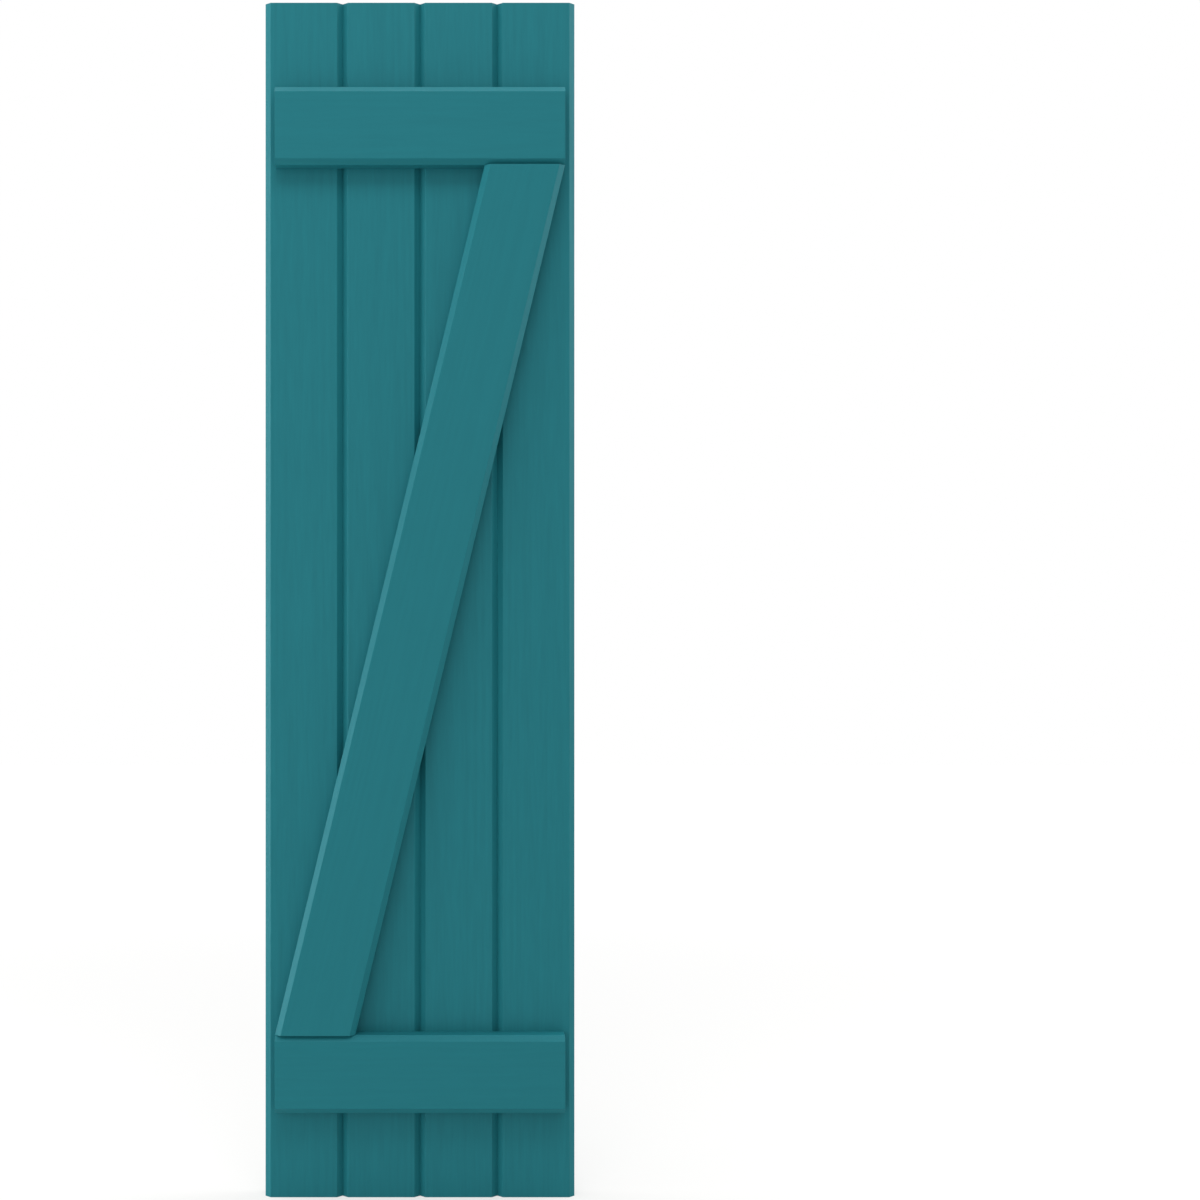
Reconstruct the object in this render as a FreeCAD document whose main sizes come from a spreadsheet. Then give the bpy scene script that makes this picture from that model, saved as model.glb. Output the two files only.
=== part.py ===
# Board and batten shutter with a diagonal brace, screwed together from 5/4 x 4 stock.
# Millimetres. +X runs to the right of the face, +Y into the wall, +Z up.
# The origin is the middle of the back, on the plane that lies against the wall.
import FreeCAD, Part
import os

import Sketcher

# The driving dimensions: name, value, what it is.
SIZES = [
    ("board_length", "1371.6", "height of the shutter"),
    ("board_face", "88.9", "width of one board, without its tongue"),
    ("board_thickness", "25.4", "front face to back face of a board"),
    ("bevel_width", "6.35", "bevel on every long edge, measured across the face"),
    ("bevel_depth", "6.35", "the same bevel, measured down the edge"),
    ("tongue_length", "6.35", "how far a tongue stands out of its board"),
    ("tongue_thickness", "6.35", "thickness of a tongue"),
    ("tongue_nose", "0.9", "bevel on the two corners of a tongue's nose"),
    ("groove_clearance", "0.2", "room on each cheek of a tongue in its groove"),
    ("groove_end_room", "0.8", "room past the nose of a tongue in its groove"),
    ("back_joint_gap", "0.6", "gap at the back of a joint, so that its front closes"),
    ("batten_width", "88.9", "height of a batten on the face"),
    ("batten_thickness", "25.4", "how far a batten stands off the boards"),
    ("batten_inset", "12.7", "side of the shutter to the end of a batten"),
    ("batten_setback", "101.6", "end of the boards to the near edge of a batten"),
    ("brace_width", "88.9", "width of the diagonal brace, square across it"),
    ("brace_thickness", "25.4", "how far the brace stands off the boards"),
    ("screw_hole", "4.5", "diameter of a screw's clearance hole"),
    ("screw_sink", "9.0", "diameter of a screw's countersink at the back face"),
    ("sink_angle", "82", "angle of a screw's countersink, in degrees"),
]

# The boards from left to right. A joint has its tongue on the left board.
BOARDS = ["left_edge_board", "left_middle_board", "right_middle_board", "right_edge_board"]

# Where two screws hold a board to a batten, as shares of the board's face and the batten's width.
BATTEN_SCREWS = [("1 / 3", "1 / 4"), ("2 / 3", "3 / 4")]

# Where screws hold each board to the brace, as shares of the height between the battens.
BRACE_SCREWS = {
    "left_edge_board": ["-5 / 11"],
    "left_middle_board": ["-3 / 11", "-1 / 11"],
    "right_middle_board": ["1 / 11", "3 / 11"],
    "right_edge_board": ["5 / 11"],
}

# Lengths and the angle that follow from the driving dimensions, as expressions.
BATTEN_LENGTH = f"({len(BOARDS)} * Sizes.board_face - 2 * Sizes.batten_inset)"
BATTEN_REACH = "(Sizes.batten_setback + Sizes.batten_width)"
CLEAR_HEIGHT = f"(Sizes.board_length - 2 * {BATTEN_REACH})"
CLEAR_DIAGONAL = f"sqrt({BATTEN_LENGTH} ^ 2 + {CLEAR_HEIGHT} ^ 2)"

# The brace's lean from upright takes two of its corners to opposite ends of the battens:
# batten length x cos(lean) = clear height x sin(lean) + brace width.
BRACE_LEAN = (
    f"(acos(Sizes.brace_width / {CLEAR_DIAGONAL}) - atan({CLEAR_HEIGHT} / {BATTEN_LENGTH}))"
)
BRACE_STOCK_LENGTH = f"(({CLEAR_HEIGHT} + 2 * Sizes.brace_width) / cos({BRACE_LEAN}))"

# The tongue is in the middle of what the bevel leaves of the board's edge.
TONGUE_FRONT = "(Sizes.bevel_depth + Sizes.board_thickness - Sizes.tongue_thickness) / 2"
TONGUE_BACK = "(Sizes.bevel_depth + Sizes.board_thickness + Sizes.tongue_thickness) / 2"
GROOVE_DEPTH = "(Sizes.tongue_length + Sizes.groove_end_room)"


def make_sheet(doc):
    """The spreadsheet of driving dimensions, one aliased row for each."""
    sheet = doc.addObject("Spreadsheet::Sheet", "Sizes")
    for row, (alias, value, meaning) in enumerate(SIZES, start=1):
        sheet.set(f"A{row}", alias)
        sheet.set(f"B{row}", value)
        sheet.set(f"C{row}", meaning)
        sheet.setAlias(f"B{row}", alias)
    doc.recompute()


def bind(item, expressions):
    """Binds properties of a document object to expressions of the sheet."""
    for name, expression in expressions.items():
        item.setExpression(name, expression)


def new_body(doc, label):
    """An empty body with the label that names its piece."""
    body = doc.addObject("PartDesign::Body", label)
    body.Label = label
    return body


def new_sketch(body, name, plane):
    """A sketch on one of the body's own origin planes, such as XY_Plane."""
    sketch = body.newObject("Sketcher::SketchObject", name)
    support = next(part for part in body.Origin.OriginFeatures if part.Role == plane)
    sketch.AttachmentSupport = [(support, "")]
    sketch.MapMode = "FlatFace"
    return sketch


def bind_point(sketch, line, place, expressions):
    """Holds the start of a line, or a circle's centre, at two bound distances from the axes."""
    position = 3 if isinstance(sketch.Geometry[line], Part.Circle) else 1
    for kind, value, expression in zip(("DistanceX", "DistanceY"), place, expressions):
        index = sketch.addConstraint(Sketcher.Constraint(kind, -1, 1, line, position, value))
        sketch.setExpression(f"Constraints[{index}]", expression)


def draw_outline(sketch, corners):
    """A closed outline of straight lines, with both distances of each corner bound."""
    places = [
        FreeCAD.Vector(float(sketch.evalExpression(x)), float(sketch.evalExpression(y)), 0)
        for x, y in corners
    ]
    lines = len(corners)
    for start, end in zip(places, places[1:] + places[:1]):
        sketch.addGeometry(Part.LineSegment(start, end), False)
    for line in range(lines):
        sketch.addConstraint(Sketcher.Constraint("Coincident", line, 2, (line + 1) % lines, 1))
    for line, corner in enumerate(corners):
        bind_point(sketch, line, (places[line].x, places[line].y), corner)


def draw_circles(sketch, centres, diameter):
    """Circles of one bound diameter, with both distances of each centre bound."""
    radius = float(sketch.evalExpression(diameter)) / 2
    for number, centre in enumerate(centres):
        place = [float(sketch.evalExpression(expression)) for expression in centre]
        middle = FreeCAD.Vector(place[0], place[1], 0)
        sketch.addGeometry(Part.Circle(middle, FreeCAD.Vector(0, 0, 1), radius), False)
        bind_point(sketch, number, place, centre)
        index = sketch.addConstraint(Sketcher.Constraint("Diameter", number, 2 * radius))
        sketch.setExpression(f"Constraints[{index}]", diameter)


def pad(body, sketch, length):
    """Pads a sketch along its normal by a bound length."""
    feature = body.newObject("PartDesign::Pad", f"{body.Name}_pad")
    feature.Profile = sketch
    bind(feature, {"Length": length})
    sketch.Visibility = False
    return feature


# The board's section: x runs from its left shoulder to its right one, y from face to back.
PLAIN_LEFT = [
    ("0", "Sizes.board_thickness"),
    ("0", "Sizes.bevel_depth"),
]
GROOVED_LEFT = [
    ("0", "Sizes.board_thickness"),
    ("0", f"{TONGUE_BACK} + Sizes.groove_clearance"),
    (GROOVE_DEPTH, f"{TONGUE_BACK} + Sizes.groove_clearance"),
    (GROOVE_DEPTH, f"{TONGUE_FRONT} - Sizes.groove_clearance"),
    ("0", f"{TONGUE_FRONT} - Sizes.groove_clearance"),
    ("0", "Sizes.bevel_depth"),
]
FACE = [
    ("Sizes.bevel_width", "0"),
    ("Sizes.board_face - Sizes.bevel_width", "0"),
]
PLAIN_RIGHT = [
    ("Sizes.board_face", "Sizes.bevel_depth"),
    ("Sizes.board_face", "Sizes.board_thickness"),
]
TONGUED_RIGHT = [
    ("Sizes.board_face", "Sizes.bevel_depth"),
    ("Sizes.board_face", TONGUE_FRONT),
    ("Sizes.board_face + Sizes.tongue_length - Sizes.tongue_nose", TONGUE_FRONT),
    ("Sizes.board_face + Sizes.tongue_length", f"{TONGUE_FRONT} + Sizes.tongue_nose"),
    ("Sizes.board_face + Sizes.tongue_length", f"{TONGUE_BACK} - Sizes.tongue_nose"),
    ("Sizes.board_face + Sizes.tongue_length - Sizes.tongue_nose", TONGUE_BACK),
    ("Sizes.board_face - Sizes.back_joint_gap", TONGUE_BACK),
    ("Sizes.board_face - Sizes.back_joint_gap", "Sizes.board_thickness"),
]


def screw_centres(label, number):
    """Centres of a board's screw holes, from its own lower left corner, as expressions."""
    centres = []
    for across, up in BATTEN_SCREWS:
        x = f"Sizes.board_face * {across}"
        bottom = f"Sizes.batten_setback + Sizes.batten_width * {up}"
        centres.append((x, bottom))
        centres.append((x, f"Sizes.board_length - {BATTEN_REACH} + Sizes.batten_width * {up}"))
    middle = f"{len(BOARDS) / 2 - number} * Sizes.board_face"
    for share in BRACE_SCREWS[label]:
        height = f"{CLEAR_HEIGHT} * {share}"
        x = f"{middle} + {height} * tan({BRACE_LEAN})"
        centres.append((x, f"Sizes.board_length / 2 + {height}"))
    return centres


def drill_screw_holes(doc, body, centres):
    """Countersunk clearance holes from the back face right through the board."""
    sketch = new_sketch(body, f"{body.Name}_holes", "XZ_Plane")
    sketch.setExpression("AttachmentOffset.Base.z", "-Sizes.board_thickness")
    draw_circles(sketch, centres, "Sizes.screw_hole")
    doc.recompute()
    before = body.Shape.Volume
    hole = body.newObject("PartDesign::Hole", f"{body.Name}_screw_holes")
    hole.Profile = sketch
    doc.recompute()
    hole.Threaded = False
    hole.DepthType = "ThroughAll"
    hole.Reversed = True
    hole.HoleCutType = "Countersink"
    hole.HoleCutCustomValues = True
    bind(
        hole,
        {
            "Diameter": "Sizes.screw_hole",
            "HoleCutDiameter": "Sizes.screw_sink",
            "HoleCutCountersinkAngle": "Sizes.sink_angle",
        },
    )
    sketch.Visibility = False
    doc.recompute()
    if not body.Shape.Volume < before:
        raise RuntimeError(f"the screw holes cut nothing from {body.Label}")


def make_board(doc, label, number):
    """One upright board: its section padded to the shutter's height, then drilled."""
    body = new_body(doc, label)
    left = PLAIN_LEFT if number == 0 else GROOVED_LEFT
    right = PLAIN_RIGHT if number == len(BOARDS) - 1 else TONGUED_RIGHT
    sketch = new_sketch(body, f"{label}_section", "XY_Plane")
    draw_outline(sketch, left + FACE + right)
    pad(body, sketch, "Sizes.board_length")
    bind(
        body,
        {
            "Placement.Base.x": f"{number - len(BOARDS) / 2} * Sizes.board_face",
            "Placement.Base.y": "-Sizes.board_thickness",
            "Placement.Base.z": "-Sizes.board_length / 2",
        },
    )
    drill_screw_holes(doc, body, screw_centres(label, number))
    return body


def bevelled_section(width, thickness):
    """A strip's section, y from face to back, with both corners of its face bevelled."""
    return [
        ("Sizes.bevel_width", "0"),
        (f"{width} - Sizes.bevel_width", "0"),
        (width, "Sizes.bevel_depth"),
        (width, thickness),
        ("0", thickness),
        ("0", "Sizes.bevel_depth"),
    ]


def make_batten(doc, label, lower_edge):
    """One level batten: its section padded across the boards, square at both ends."""
    body = new_body(doc, label)
    sketch = new_sketch(body, f"{label}_section", "YZ_Plane")
    section = bevelled_section("Sizes.batten_width", "Sizes.batten_thickness")
    draw_outline(sketch, [(depth, up) for up, depth in section])
    pad(body, sketch, BATTEN_LENGTH)
    bind(
        body,
        {
            "Placement.Base.x": f"-{BATTEN_LENGTH} / 2",
            "Placement.Base.y": "-(Sizes.board_thickness + Sizes.batten_thickness)",
            "Placement.Base.z": lower_edge,
        },
    )
    return body


def make_brace(doc, label):
    """The diagonal brace: over-long stock laid at its lean, cut level with the battens' edges."""
    stock = new_body(doc, f"{label}_stock")
    sketch = new_sketch(stock, f"{label}_section", "XY_Plane")
    draw_outline(sketch, bevelled_section("Sizes.brace_width", "Sizes.brace_thickness"))
    pad(stock, sketch, BRACE_STOCK_LENGTH)
    stock.Placement.Rotation = FreeCAD.Rotation(FreeCAD.Vector(0, 1, 0), 1)
    half_width = "Sizes.brace_width / 2"
    half_length = f"{BRACE_STOCK_LENGTH} / 2"
    bind(
        stock,
        {
            "Placement.Rotation.Angle": BRACE_LEAN,
            "Placement.Base.x": (
                f"-({half_width} * cos({BRACE_LEAN}) + {half_length} * sin({BRACE_LEAN}))"
            ),
            "Placement.Base.y": "-(Sizes.board_thickness + Sizes.brace_thickness)",
            "Placement.Base.z": f"{half_width} * sin({BRACE_LEAN}) - {half_length} * cos({BRACE_LEAN})",
        },
    )
    between = doc.addObject("Part::Box", f"{label}_between_battens")
    bind(
        between,
        {
            "Length": f"2 * {BATTEN_LENGTH}",
            "Width": "3 * Sizes.brace_thickness",
            "Height": CLEAR_HEIGHT,
            "Placement.Base.x": f"-{BATTEN_LENGTH}",
            "Placement.Base.y": "-(Sizes.board_thickness + 2 * Sizes.brace_thickness)",
            "Placement.Base.z": f"-{CLEAR_HEIGHT} / 2",
        },
    )
    brace = doc.addObject("Part::Common", label)
    brace.Label = label
    brace.Base = stock
    brace.Tool = between
    return brace


def check(doc, pieces):
    """Stops if any object failed, or if a piece is not one sound solid."""
    for item in doc.Objects:
        if "Invalid" in item.State or "Error" in item.State:
            raise RuntimeError(f"{item.Label} failed: {item.State}")
    for piece in pieces:
        shape = piece.Shape
        if shape.isNull() or not shape.isValid() or len(shape.Solids) != 1:
            raise RuntimeError(f"{piece.Label} is not one sound solid")


doc = FreeCAD.newDocument("shutter")
make_sheet(doc)
pieces = [make_board(doc, label, number) for number, label in enumerate(BOARDS)]
pieces.append(make_batten(doc, "top_batten", f"Sizes.board_length / 2 - {BATTEN_REACH}"))
pieces.append(make_batten(doc, "bottom_batten", "Sizes.batten_setback - Sizes.board_length / 2"))
pieces.append(make_brace(doc, "diagonal_brace"))
doc.recompute()
check(doc, pieces)

os.makedirs("parts", exist_ok=True)
for piece in pieces:
    piece.Shape.exportStep(os.path.join("parts", f"{piece.Label}.step"))
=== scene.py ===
import math

import bpy
import numpy as np
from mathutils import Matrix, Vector
from mathutils.geometry import delaunay_2d_cdt


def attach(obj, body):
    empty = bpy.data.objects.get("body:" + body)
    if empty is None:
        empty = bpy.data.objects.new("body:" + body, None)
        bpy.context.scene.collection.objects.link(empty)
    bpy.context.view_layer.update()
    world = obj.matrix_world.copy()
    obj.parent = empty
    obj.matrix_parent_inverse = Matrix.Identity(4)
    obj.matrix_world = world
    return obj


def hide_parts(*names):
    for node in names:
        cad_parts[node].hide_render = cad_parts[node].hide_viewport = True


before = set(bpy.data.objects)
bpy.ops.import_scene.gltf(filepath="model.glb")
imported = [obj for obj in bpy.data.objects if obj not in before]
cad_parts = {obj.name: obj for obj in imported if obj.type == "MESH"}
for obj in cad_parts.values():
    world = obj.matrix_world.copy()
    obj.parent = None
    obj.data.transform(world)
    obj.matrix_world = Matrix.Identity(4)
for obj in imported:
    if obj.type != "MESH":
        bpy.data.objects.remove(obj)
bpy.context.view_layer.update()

# The upright boards. Four planed softwood boards of 5/4 x 4 stock, milled with a tongue, a groove
# and a bevel on each long edge, so that two neighbours lock together behind an open V.
# They are cut square at both ends, eased with sandpaper and painted all over.
MM = 0.001
BOARDS = ["left_edge_board", "left_middle_board", "right_middle_board", "right_edge_board"]
BOARD_LENGTH = 1371.6
BOARD_FACE = 88.9
BOARD_THICKNESS = 25.4
BEVEL_WIDTH = 6.35
BEVEL_DEPTH = 6.35
TONGUE_LENGTH = 6.35
TONGUE_THICKNESS = 6.35
TONGUE_NOSE = 0.9
GROOVE_CLEARANCE = 0.2
GROOVE_END_ROOM = 0.8
BACK_JOINT_GAP = 0.6
SANDED_EDGE = 0.8
SAWN_EDGE = 0.25
END_EDGE = 0.15

ACROSS = np.array([1.0, 0.0, 0.0])
INWARD = np.array([0.0, 1.0, 0.0])
UP = np.array([0.0, 0.0, 1.0])


def eased(corners, radii, steps=5):
    """A closed outline with rounded corners, and its outward normals.

    Each corner C becomes the parabola (1-s)^2 A + 2s(1-s) C + s^2 B, where A and B lie on the two
    sides, radius x tan(half the turn) away from C. The normal is the tangent turned a right angle.
    """
    corners = np.asarray(corners, float)
    radii = np.broadcast_to(radii, len(corners))[:, None]
    arriving = corners - np.roll(corners, 1, axis=0)
    arriving /= np.linalg.norm(arriving, axis=1, keepdims=True)
    leaving = np.roll(arriving, -1, axis=0)
    half_turn = np.arccos(np.clip((arriving * leaving).sum(1, keepdims=True), -1, 1)) / 2
    reach = radii * np.tan(half_turn)
    s = np.linspace(0, 1, steps)[None, :, None]
    first, last = (corners - arriving * reach)[:, None], (corners + leaving * reach)[:, None]
    outline = (1 - s) ** 2 * first + 2 * s * (1 - s) * corners[:, None] + s**2 * last
    tangent = (1 - s) * arriving[:, None] + s * leaving[:, None]
    tangent /= np.linalg.norm(tangent, axis=2, keepdims=True)
    normal = np.stack([tangent[..., 1], -tangent[..., 0]], axis=2)
    return outline.reshape(-1, 2), normal.reshape(-1, 2)


def joined(rings):
    """Quads between neighbouring closed rings, given as an array of point numbers per ring."""
    after = np.roll(rings, -1, axis=1)
    quads = np.stack([rings[:-1], after[:-1], after[1:], rings[1:]], axis=2)
    return quads.reshape(-1, 4).tolist()


def filled(outline):
    """The inside of a closed outline as triangles of point numbers, by Delaunay's division."""
    inside_only, nearest = 1, 1e-6
    around = [list(range(len(outline)))]
    return np.array(delaunay_2d_cdt(outline.tolist(), [], around, inside_only, nearest)[2])


def carried(outline, normals, low, high, side, path, steps=5):
    """A section carried along a straight path, with a quarter-round edge at both ends.

    A point is across x side + depth x inward + along x path. Along goes from low to high, which
    may differ for each point of the outline, so that an end can be cut at an angle. At an end the
    outline shrinks along its normals by edge x (1 - sin t), while along is edge x (1 - cos t) from
    the end, for t from 0 to a quarter turn. The edge is smaller than any rounded corner.
    """
    t = np.linspace(0, np.pi / 2, steps)[:, None]
    shrink = END_EDGE * (1 - np.sin(t))
    from_end = END_EDGE * (1 - np.cos(t)) + np.zeros(len(outline))
    along = np.concatenate([low + from_end, high - from_end[::-1]])
    shrink = np.concatenate([shrink, shrink[::-1]])[:, :, None]
    section = outline[None] - shrink * normals[None]
    points = section[..., :1] * side + section[..., 1:] * INWARD + along[..., None] * path
    rings = np.arange(points[..., 0].size).reshape(points.shape[:2])
    end = filled(section[0])
    caps = rings[0][end[:, ::-1]].tolist() + rings[-1][end].tolist()
    return points.reshape(-1, 3), joined(rings) + caps


def mesh_object(name, points, faces):
    """An object of its own from points in millimetres."""
    mesh = bpy.data.meshes.new(name)
    mesh.from_pydata((np.asarray(points) * MM).tolist(), [], faces)
    mesh.update()
    made = bpy.data.objects.new(name, mesh)
    bpy.context.scene.collection.objects.link(made)
    return made


def shade_edges(made, sharpest=35):
    """Flat faces keep their normals, eased edges take up the turn, and sharper edges stay sharp."""
    made.data.shade_smooth()
    made.data.set_sharp_from_angle(angle=math.radians(sharpest))
    weighted = made.modifiers.new("even_normals", "WEIGHTED_NORMAL")
    weighted.keep_sharp = True


def board_outline(grooved, tongued):
    """A board's section: x from its left shoulder, y from the face (negative) to the back (0)."""
    face = -BOARD_THICKNESS
    tongue_front = face + (BEVEL_DEPTH + BOARD_THICKNESS - TONGUE_THICKNESS) / 2
    tongue_back = tongue_front + TONGUE_THICKNESS
    tip = BOARD_FACE + TONGUE_LENGTH
    shoulder = BOARD_FACE - BACK_JOINT_GAP
    groove_front, groove_back = tongue_front - GROOVE_CLEARANCE, tongue_back + GROOVE_CLEARANCE
    groove_end = TONGUE_LENGTH + GROOVE_END_ROOM
    corners = [
        (BEVEL_WIDTH, face),
        (BOARD_FACE - BEVEL_WIDTH, face),
        (BOARD_FACE, face + BEVEL_DEPTH),
    ]
    if tongued:
        corners += [
            (BOARD_FACE, tongue_front),
            (tip - TONGUE_NOSE, tongue_front),
            (tip, tongue_front + TONGUE_NOSE),
            (tip, tongue_back - TONGUE_NOSE),
            (tip - TONGUE_NOSE, tongue_back),
            (shoulder, tongue_back),
            (shoulder, 0),
        ]
    else:
        corners += [(BOARD_FACE, 0)]
    corners += [(0, 0)]
    if grooved:
        corners += [
            (0, groove_back),
            (groove_end, groove_back),
            (groove_end, groove_front),
            (0, groove_front),
        ]
    corners += [(0, face + BEVEL_DEPTH)]
    radii = np.full(len(corners), SAWN_EDGE)
    radii[:2] = SANDED_EDGE
    if not tongued:
        radii[2] = SANDED_EDGE
    if not grooved:
        radii[-1] = SANDED_EDGE
    return eased(corners, radii)


def linear(colour):
    """An sRGB hex colour as linear RGBA."""
    srgb = np.array([int(colour[i : i + 2], 16) for i in (1, 3, 5)]) / 255
    return (*np.where(srgb <= 0.04045, srgb / 12.92, ((srgb + 0.055) / 1.055) ** 2.4), 1.0)


def add_node(tree, kind, links=(), **settings):
    """One node. A setting goes on the node, or else on the input socket of that name.

    Links are pairs of an input's name or number and the output socket that feeds it.
    """
    node = tree.nodes.new(kind)
    on_node = {name: value for name, value in settings.items() if hasattr(node, name)}
    for name, value in on_node.items():
        setattr(node, name, value)
    for name in settings.keys() - on_node.keys():
        node.inputs[name.replace("_", " ")].default_value = settings[name]
    for target, source in links:
        tree.links.new(node.inputs[target], source)
    return node


PAINT = "#1E6E77"
PAINT_SHEEN = 0.1
ROUGHNESS_IN_HOLLOWS = 0.5
ROUGHNESS_ON_FIBRES = 0.4
# Painted shade and highlight of the grain relief: the paint colour goes darker in its hollows and
# lighter on its ridges.
GRAIN_SHADE_AND_HIGHLIGHT = 0.05
SHADED_HOLLOW_STOP = 0.3
LIT_RIDGE_STOP = 0.9
RING_SPACING = 4.5
RING_SHARE = 0.4
RING_WANDER = 14.0
WANDER_ACROSS = 45.0
FIBRE_WIDTH = 3.0
FIBRE_LENGTH = 45.0
GRAIN_RELIEF = 0.08
PATCH = 120.0
WAVE_PERIOD = 2 * math.pi / 20  # of Blender's wave texture, at a scale of one


def satin_paint_on_pine(name, lean, pith, grain_shows=1.0):
    """Satin exterior paint sprayed on planed pine, for one stick with its own pith.

    To the eye it is one deep, even colour. The late wood of the growth rings stands a little proud
    under the paint, so light from the side draws faint streaks along the grain, and arcs on the
    sawn ends. On top of that relief the colour itself is painted a little darker in its hollows and
    a little lighter on its ridges, as painted shade and painted highlight. Fibres are drawn about
    three times their real width, so that they show at all.
    """
    material = bpy.data.materials.new(name)
    material.use_nodes = True
    tree = material.node_tree
    tree.nodes.clear()
    place = add_node(tree, "ShaderNodeTexCoord")
    grain = add_node(
        tree,
        "ShaderNodeMapping",
        links=[("Vector", place.outputs["Object"])],
        Rotation=(0, -lean, 0),
        Location=(-pith[0] * MM, -pith[1] * MM, 0),
    )
    stretched = add_node(
        tree,
        "ShaderNodeMapping",
        links=[("Vector", grain.outputs["Vector"])],
        Scale=(1, 1, FIBRE_WIDTH / FIBRE_LENGTH),
    )
    wander = add_node(
        tree,
        "ShaderNodeTexNoise",
        links=[("Vector", stretched.outputs["Vector"])],
        Scale=1 / (WANDER_ACROSS * MM),
        Detail=1,
    )
    strayed = add_node(
        tree,
        "ShaderNodeVectorMath",
        links=[(0, wander.outputs["Color"]), (2, grain.outputs["Vector"])],
        operation="MULTIPLY_ADD",
    )
    strayed.inputs[1].default_value = (RING_WANDER * MM, RING_WANDER * MM, 0)
    rings = add_node(
        tree,
        "ShaderNodeTexWave",
        links=[("Vector", strayed.outputs["Vector"])],
        wave_type="RINGS",
        rings_direction="Z",
        Scale=WAVE_PERIOD / (RING_SPACING * MM),
    )
    patch = add_node(
        tree,
        "ShaderNodeTexNoise",
        links=[("Vector", grain.outputs["Vector"])],
        Scale=1 / (PATCH * MM),
        Detail=1,
    )
    late_wood = add_node(
        tree,
        "ShaderNodeMath",
        links=[(0, rings.outputs["Fac"]), (1, patch.outputs["Fac"])],
        operation="MULTIPLY",
    )
    fibre = add_node(
        tree,
        "ShaderNodeTexNoise",
        links=[("Vector", stretched.outputs["Vector"])],
        Scale=1 / (FIBRE_WIDTH * MM),
        Detail=2,
    )
    relief = add_node(
        tree,
        "ShaderNodeMath",
        links=[(0, late_wood.outputs["Value"]), (2, fibre.outputs["Fac"])],
        operation="MULTIPLY_ADD",
    )
    relief.inputs[1].default_value = RING_SHARE
    bump = add_node(
        tree,
        "ShaderNodeBump",
        links=[("Height", relief.outputs["Value"])],
        Distance=GRAIN_RELIEF * grain_shows * MM,
    )
    # The colour follows the relief height: painted shade in the hollows, painted highlight on the
    # ridges.
    colour = add_node(tree, "ShaderNodeValToRGB", links=[("Fac", relief.outputs["Value"])])
    shade_and_highlight = ((SHADED_HOLLOW_STOP, -GRAIN_SHADE_AND_HIGHLIGHT), (LIT_RIDGE_STOP, GRAIN_SHADE_AND_HIGHLIGHT))
    for stop, (height, tone) in zip(colour.color_ramp.elements, shade_and_highlight):
        stop.position = height
        stop.color = (*np.array(linear(PAINT)[:3]) * (1 + tone * grain_shows), 1)
    sheen = add_node(
        tree,
        "ShaderNodeMapRange",
        links=[("Value", fibre.outputs["Fac"])],
        To_Min=ROUGHNESS_IN_HOLLOWS,
        To_Max=ROUGHNESS_ON_FIBRES,
    )
    shader = add_node(
        tree,
        "ShaderNodeBsdfPrincipled",
        links=[
            ("Base Color", colour.outputs["Color"]),
            ("Roughness", sheen.outputs["Result"]),
            ("Normal", bump.outputs["Normal"]),
        ],
        Specular_IOR_Level=PAINT_SHEEN,
    )
    add_node(tree, "ShaderNodeOutputMaterial", links=[("Surface", shader.outputs["BSDF"])])
    return material


# Where each board's pith lay: across from the shutter's middle, and inward from its back.
BOARD_PITHS = {
    "left_edge_board": (-128, 34),
    "left_middle_board": (-62, 58),
    "right_middle_board": (38, -88),
    "right_edge_board": (152, 41),
}

boards = {}
for number, node in enumerate(BOARDS):
    outline, normals = board_outline(grooved=number > 0, tongued=number < len(BOARDS) - 1)
    outline = outline + [(number - len(BOARDS) / 2) * BOARD_FACE, 0]
    board = mesh_object(
        f"{node}_painted",
        *carried(outline, normals, -BOARD_LENGTH / 2, BOARD_LENGTH / 2, ACROSS, UP),
    )
    board.data.materials.append(
        satin_paint_on_pine(f"satin_paint_on_{node}", lean=0, pith=BOARD_PITHS[node])
    )
    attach(board, "root")
    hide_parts(node)
    boards[node] = board

# The battens. Two level strips of the same planed and painted stock, with both long edges of the
# face bevelled and the ends cut square. They lie flat across the boards, near the ends, and are
# screwed on from behind.
BATTEN_WIDTH = 88.9
BATTEN_THICKNESS = 25.4
BATTEN_INSET = 12.7
BATTEN_SETBACK = 101.6
BATTEN_LENGTH = len(BOARDS) * BOARD_FACE - 2 * BATTEN_INSET
BATTEN_MIDDLE = BOARD_LENGTH / 2 - BATTEN_SETBACK - BATTEN_WIDTH / 2
CLEAR_HEIGHT = 2 * BATTEN_MIDDLE - BATTEN_WIDTH
LEVEL = math.radians(90)
BATTEN_PITHS = {"top_batten": (-520, 22), "bottom_batten": (598, -131)}
GRAIN_ON_STRIPS = 0.5


def strip_outline(width, thickness):
    """A strip's section, centred across: its face bevelled on both edges, its back square."""
    half, back, face = width / 2, -BOARD_THICKNESS, -BOARD_THICKNESS - thickness
    corners = [
        (-half + BEVEL_WIDTH, face),
        (half - BEVEL_WIDTH, face),
        (half, face + BEVEL_DEPTH),
        (half, back),
        (-half, back),
        (-half, face + BEVEL_DEPTH),
    ]
    sanded, sawn = [SANDED_EDGE], [SAWN_EDGE]
    return eased(corners, 3 * sanded + 2 * sawn + sanded)


for node, middle in (("top_batten", BATTEN_MIDDLE), ("bottom_batten", -BATTEN_MIDDLE)):
    outline, normals = strip_outline(BATTEN_WIDTH, BATTEN_THICKNESS)
    outline = outline - [middle, 0]
    batten = mesh_object(
        f"{node}_painted",
        *carried(outline, normals, -BATTEN_LENGTH / 2, BATTEN_LENGTH / 2, -UP, ACROSS),
    )
    batten.data.materials.append(
        satin_paint_on_pine(f"satin_paint_on_{node}", LEVEL, BATTEN_PITHS[node], GRAIN_ON_STRIPS)
    )
    shade_edges(batten)
    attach(batten, "root")
    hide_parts(node)

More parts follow.
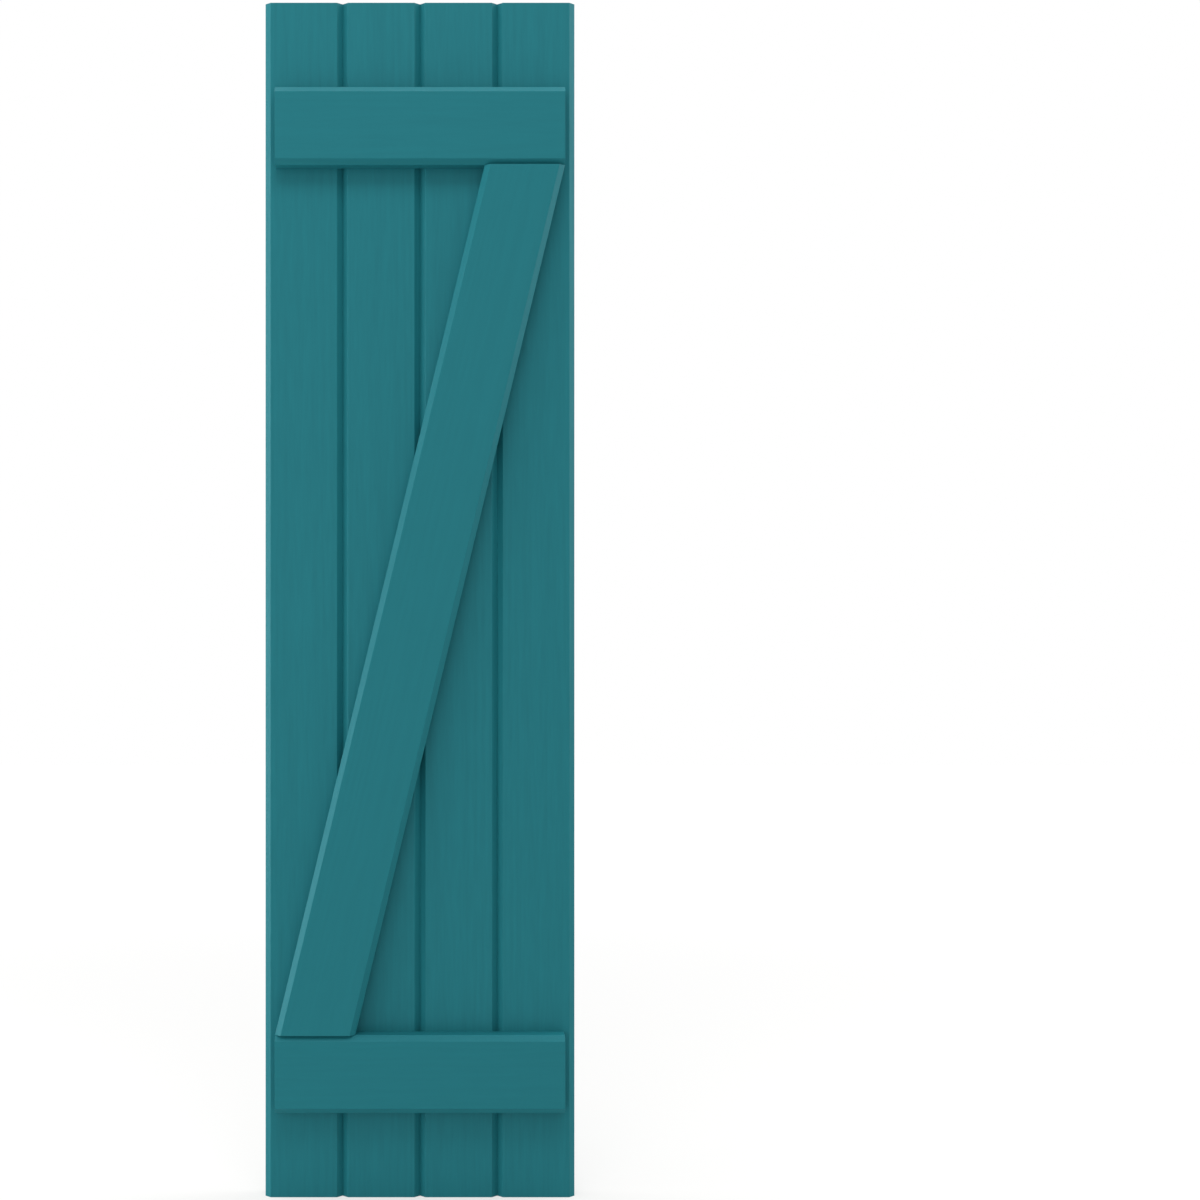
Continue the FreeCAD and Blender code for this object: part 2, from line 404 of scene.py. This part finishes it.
# The diagonal brace. One more strip of that stock, from one corner of the space between the battens
# to the other, its ends sawn level to stand against them. It is screwed on from behind too, and
# keeps the shutter from sagging out of square.
BRACE_WIDTH = 88.9
BRACE_THICKNESS = 25.4
BRACE_PITH = (47, -118)
CLEAR_DIAGONAL = math.hypot(BATTEN_LENGTH, CLEAR_HEIGHT)
LEAN = math.acos(BRACE_WIDTH / CLEAR_DIAGONAL) - math.atan2(CLEAR_HEIGHT, BATTEN_LENGTH)

outline, normals = strip_outline(BRACE_WIDTH, BRACE_THICKNESS)
brace_path = math.sin(LEAN) * ACROSS + math.cos(LEAN) * UP
brace_side = math.cos(LEAN) * ACROSS - math.sin(LEAN) * UP
level_cut = outline[:, 0] * math.tan(LEAN)
half_length = CLEAR_HEIGHT / 2 / math.cos(LEAN)
brace = mesh_object(
    "diagonal_brace_painted",
    *carried(
        outline, normals, level_cut - half_length, level_cut + half_length, brace_side, brace_path
    ),
)
brace.data.materials.append(
    satin_paint_on_pine("satin_paint_on_diagonal_brace", LEAN, BRACE_PITH, GRAIN_ON_STRIPS)
)
shade_edges(brace)
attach(brace, "root")
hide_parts("diagonal_brace")

# The screws. Zinc plated countersunk wood screws with a cross recess, driven through the backs of
# the boards: two from each board into each batten, and six along the brace.
# Their clearance holes are drilled and countersunk first.
SCREW_HOLE = 4.5
SCREW_SINK = 9.0
SINK_ANGLE = 82.0
SCREW_HEAD = 8.4
SCREW_SHANK = 4.2
SCREW_LENGTH = 44.5
SCREW_POINT = 7.0
SCREW_TIP = 0.09
BRACE_SCREWS = 6
HEAD_DEPTH = 0.35
HEAD_RIM = 0.15
HEAD_FLAT = 3.1
RECESS_DEPTH = 1.9
RECESS_SHARES = (1, 0.85, 0.5, 0)
RECESS_SLOT = 0.55
RECESS_WALL = 0.2
RECESS_MIDDLE = 1.3
RECESS_END = 1.9
RECESS_REACH = 2.3
GOLDEN_TURN = math.pi * (3 - math.sqrt(5))
SINK_SLOPE = math.tan(math.radians(SINK_ANGLE / 2))

on_battens = [
    ((number - len(BOARDS) / 2 + across) * BOARD_FACE, middle + (up - 1 / 2) * BATTEN_WIDTH)
    for number in range(len(BOARDS))
    for middle in (BATTEN_MIDDLE, -BATTEN_MIDDLE)
    for across, up in ((1 / 3, 1 / 4), (2 / 3, 3 / 4))
]
brace_steps = np.arange(1 - BRACE_SCREWS, BRACE_SCREWS, 2)
brace_heights = brace_steps / (2 * BRACE_SCREWS - 1) * CLEAR_HEIGHT
on_brace = np.column_stack([brace_heights * math.tan(LEAN), brace_heights])
screw_places = np.concatenate([on_battens, on_brace])


def turned(profile, angles):
    """Rings of (radius, y) pairs turned about the y axis: x is r cos a, and z is r sin a."""
    radius, y = np.asarray(profile, float).T[:, :, None]
    return np.stack([radius * np.cos(angles), y + 0 * angles, radius * np.sin(angles)], axis=2)


def repeated(points, faces, places, turns):
    """Copies of a shape, each turned about its own y axis and set at its (x, z) place."""
    cos, sin = np.cos(turns)[:, None], np.sin(turns)[:, None]
    x = points[:, 0] * cos + points[:, 2] * sin + places[:, :1]
    z = points[:, 2] * cos - points[:, 0] * sin + places[:, 1:]
    y = points[:, 1] + 0 * x
    copies = [
        (np.array(face) + copy * len(points)).tolist()
        for copy in range(len(places))
        for face in faces
    ]
    return np.stack([x, y, z], axis=2).reshape(-1, 3), copies


def drill(around=48, past=1.0):
    """The drill's shape: the countersink's cone, from past the back, then the clearance hole."""
    sink_depth = (SCREW_SINK - SCREW_HOLE) / 2 / SINK_SLOPE
    profile = [
        (SCREW_SINK / 2 + past * SINK_SLOPE, past),
        (SCREW_HOLE / 2, -sink_depth),
        (SCREW_HOLE / 2, -BOARD_THICKNESS - past),
    ]
    points = turned(profile, np.arange(around) * 2 * math.pi / around)
    rings = np.arange(points[..., 0].size).reshape(points.shape[:2])
    caps = [rings[0, ::-1].tolist(), rings[-1].tolist()]
    return points.reshape(-1, 3), joined(rings) + caps


def countersunk_screw():
    """One screw, its head's middle at the origin of x and z.

    The top of the head is a grid that is square in the middle, so that the recess has straight
    walls, and goes over to a circle at the rim: a grid point moves along its own radius until its
    distance is the larger of its two coordinates. Depth in the recess depends on the distance
    along its slot. The rim, cone, shank and point are a profile turned on from the grid's edge.
    """
    rim = SCREW_HEAD / 2 - HEAD_RIM
    wall_top = RECESS_SLOT + RECESS_WALL
    recess = [RECESS_SLOT, wall_top, RECESS_MIDDLE, RECESS_END, RECESS_REACH]
    half = np.array([0, *recess, HEAD_FLAT, rim])
    lines = np.concatenate([-half[:0:-1], half])
    u, v = np.meshgrid(lines, lines, indexing="ij")
    larger, smaller = np.maximum(abs(u), abs(v)), np.minimum(abs(u), abs(v))
    roundness = np.clip((larger - RECESS_REACH) / (rim - RECESS_REACH), 0, 1)
    scale = 1 - roundness + roundness * larger / np.maximum(np.hypot(u, v), 1e-9)
    along_slot = (0, RECESS_SLOT, RECESS_END, RECESS_REACH)
    depth = np.interp(larger, along_slot, RECESS_SHARES) * RECESS_DEPTH
    depth[smaller > RECESS_SLOT] = 0
    top = np.stack([u * scale, -HEAD_DEPTH - depth, v * scale], axis=2).reshape(-1, 3)
    numbers = np.arange(u.size).reshape(u.shape)
    top_faces = np.stack(
        [numbers[:-1, :-1], numbers[:-1, 1:], numbers[1:, 1:], numbers[1:, :-1]], axis=2
    ).reshape(-1, 4)
    edge = np.flatnonzero(np.isclose(larger, rim).ravel())
    angles = np.arctan2(top[edge, 2], top[edge, 0])
    edge, angles = edge[np.argsort(angles)], np.sort(angles)
    cone_end = HEAD_DEPTH + HEAD_RIM + (SCREW_HEAD - SCREW_SHANK) / 2 / SINK_SLOPE
    profile = [
        (SCREW_HEAD / 2, -HEAD_DEPTH - HEAD_RIM),
        (SCREW_SHANK / 2, -cone_end),
        (SCREW_SHANK / 2, -SCREW_LENGTH + SCREW_POINT),
        (SCREW_TIP, -SCREW_LENGTH),
    ]
    below = turned(profile, angles)
    rings = u.size + np.arange(below[..., 0].size).reshape(below.shape[:2])
    rings = np.concatenate([edge[None], rings])
    faces = top_faces.tolist() + joined(rings) + [rings[-1].tolist()]
    return np.concatenate([top, below.reshape(-1, 3)]), faces


board_of_place = np.floor(screw_places[:, 0] / BOARD_FACE + len(BOARDS) / 2)
for number, board in enumerate(boards.values()):
    places = screw_places[board_of_place == number]
    bits = mesh_object("drill_bits", *repeated(*drill(), places, np.zeros(len(places))))
    cut = board.modifiers.new("screw_holes", "BOOLEAN")
    cut.object = bits
    drilled = board.evaluated_get(bpy.context.evaluated_depsgraph_get())
    board.data = bpy.data.meshes.new_from_object(drilled)
    board.modifiers.clear()
    bpy.data.objects.remove(bits)
    shade_edges(board)

ZINC = "#C2C5C4"
ZINC_DULLED = "#A9ADAE"
ZINC_MOTTLE = 2.0
ZINC_ROUGHNESS = 0.22
ZINC_DULLED_ROUGHNESS = 0.42


def zinc_plated_steel(name):
    """Bright zinc plating on steel: a pale, faintly mottled metal with soft reflections."""
    material = bpy.data.materials.new(name)
    material.use_nodes = True
    tree = material.node_tree
    tree.nodes.clear()
    place = add_node(tree, "ShaderNodeTexCoord")
    mottle = add_node(
        tree,
        "ShaderNodeTexNoise",
        links=[("Vector", place.outputs["Object"])],
        Scale=1 / (ZINC_MOTTLE * MM),
        Detail=3,
    )
    colour = add_node(tree, "ShaderNodeValToRGB", links=[("Fac", mottle.outputs["Fac"])])
    for stop, tone in zip(colour.color_ramp.elements, (ZINC, ZINC_DULLED)):
        stop.color = linear(tone)
    gloss = add_node(
        tree,
        "ShaderNodeMapRange",
        links=[("Value", mottle.outputs["Fac"])],
        To_Min=ZINC_ROUGHNESS,
        To_Max=ZINC_DULLED_ROUGHNESS,
    )
    shader = add_node(
        tree,
        "ShaderNodeBsdfPrincipled",
        links=[("Base Color", colour.outputs["Color"]), ("Roughness", gloss.outputs["Result"])],
        Metallic=1.0,
    )
    add_node(tree, "ShaderNodeOutputMaterial", links=[("Surface", shader.outputs["BSDF"])])
    return material


turns = np.arange(len(screw_places)) * GOLDEN_TURN
screws = mesh_object("back_screws", *repeated(*countersunk_screw(), screw_places, turns))
screws.data.materials.append(zinc_plated_steel("zinc_plated_steel"))
shade_edges(screws)
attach(screws, "root")

# The floor. A plain studio floor in matt pale paint, under the shutter. It keeps the shutter's soft
# shadow near the foot, and farther off the camera sees it run into the white backdrop.
FLOOR_REACH = 6000.0
FLOOR_GREY = "#D7D7D5"
FLOOR_WHITE = 1.13
GLOW_AT_FOOT = 0.5
GLOW_FAR_OFF = 0.86
GLOW_REACH = 2500.0


def seen_as_background(tree):
    """One for rays from the camera, from gloss and through glass, and nought for soft light."""
    ray = add_node(tree, "ShaderNodeLightPath")
    seen = ray.outputs["Is Camera Ray"]
    for kind in ("Is Glossy Ray", "Is Transmission Ray"):
        either = add_node(
            tree, "ShaderNodeMath", links=[(0, seen), (1, ray.outputs[kind])], operation="MAXIMUM"
        )
        seen = either.outputs["Value"]
    return seen


paint = bpy.data.materials.new("matt_pale_floor_paint")
paint.use_nodes = True
tree = paint.node_tree
tree.nodes.clear()
matt = add_node(tree, "ShaderNodeBsdfDiffuse", Color=linear(FLOOR_GREY))
white = add_node(tree, "ShaderNodeEmission", Strength=FLOOR_WHITE)
place = add_node(tree, "ShaderNodeTexCoord")
spread = add_node(
    tree,
    "ShaderNodeMapping",
    links=[("Vector", place.outputs["Object"])],
    Scale=(1 / (GLOW_REACH * MM), 1 / (GLOW_REACH * MM), 0),
)
nearness = add_node(
    tree,
    "ShaderNodeTexGradient",
    links=[("Vector", spread.outputs["Vector"])],
    gradient_type="SPHERICAL",
)
glow = add_node(
    tree,
    "ShaderNodeMapRange",
    links=[("Value", nearness.outputs["Fac"])],
    To_Min=GLOW_FAR_OFF,
    To_Max=GLOW_AT_FOOT,
)
share = add_node(
    tree,
    "ShaderNodeMath",
    links=[(0, seen_as_background(tree)), (1, glow.outputs["Result"])],
    operation="MULTIPLY",
)
mixed = add_node(
    tree,
    "ShaderNodeMixShader",
    links=[
        ("Fac", share.outputs["Value"]),
        (1, matt.outputs["BSDF"]),
        (2, white.outputs["Emission"]),
    ],
)
add_node(tree, "ShaderNodeOutputMaterial", links=[("Surface", mixed.outputs["Shader"])])

corners = np.array([(-1, -1), (1, -1), (1, 1), (-1, 1)]) * FLOOR_REACH
corners = np.column_stack([corners, np.full(4, -BOARD_LENGTH / 2)])
floor = mesh_object("pale_floor", corners, [[0, 1, 2, 3]])
floor.data.materials.append(paint)

# The light. A white room whose soft light comes evenly from all round, and softboxes above, in
# front and at the sides. The camera sees the room as white.
ROOM_LIGHT = 0.5
BACKDROP_WHITE = 1.0
WHITE = "#FFFFFF"

world = bpy.data.worlds.new("studio")
bpy.context.scene.world = world
world.use_nodes = True
tree = world.node_tree
tree.nodes.clear()
room = add_node(tree, "ShaderNodeBackground", Color=linear(WHITE), Strength=ROOM_LIGHT)
backdrop = add_node(tree, "ShaderNodeBackground", Color=linear(WHITE), Strength=BACKDROP_WHITE)
mixed = add_node(
    tree,
    "ShaderNodeMixShader",
    links=[
        ("Fac", seen_as_background(tree)),
        (1, room.outputs["Background"]),
        (2, backdrop.outputs["Background"]),
    ],
)
add_node(tree, "ShaderNodeOutputWorld", links=[("Surface", mixed.outputs["Shader"])])


def softbox(name, place, width, height, watts):
    """A lit rectangle, with its place and size in metres, that faces the middle of the shutter."""
    lamp = bpy.data.lights.new(name, "AREA")
    lamp.shape = "RECTANGLE"
    lamp.size, lamp.size_y, lamp.energy = width, height, watts
    holder = bpy.data.objects.new(name, lamp)
    holder.location = place
    holder.rotation_euler = (-Vector(place)).to_track_quat("-Z", "Y").to_euler()
    bpy.context.scene.collection.objects.link(holder)


softbox("front_softbox", (0, -3.0, 0.1), 2.4, 2.4, 13.0)
softbox("top_front_softbox", (0, -1.5, 2.2), 1.6, 0.8, 23.0)
softbox("left_front_softbox", (-2.0, -1.6, 0.3), 1.0, 2.0, 9.3)
softbox("left_softbox", (-2.2, -0.6, 0.2), 1.2, 2.4, 16.8)
softbox("left_rim_softbox", (-1.8, 0.15, -0.15), 0.8, 2.4, 22.0)
softbox("right_rim_softbox", (1.7, 0.15, 0.9), 0.8, 2.4, 19.5)
softbox("top_rim_softbox", (0, 0.15, 2.2), 2.4, 0.8, 20.0)

# The camera. It stands straight in front of the middle of the shutter, which lies left of the
# middle of the frame, so the lens is shifted and not turned.
SENSOR = 36.0
LENS = 60.33
CAMERA_DISTANCE = 2309.0
FRAME_SHIFT = 0.15

camera = bpy.data.cameras.new("camera")
camera.sensor_width = SENSOR
camera.lens = LENS
camera.shift_x = FRAME_SHIFT
viewer = bpy.data.objects.new("camera", camera)
viewer.location = (0, -(BOARD_THICKNESS + CAMERA_DISTANCE) * MM, 0)
viewer.rotation_euler = (math.radians(90), 0, 0)
bpy.context.scene.collection.objects.link(viewer)
bpy.context.scene.camera = viewer
bpy.context.scene.view_settings.view_transform = "Standard"
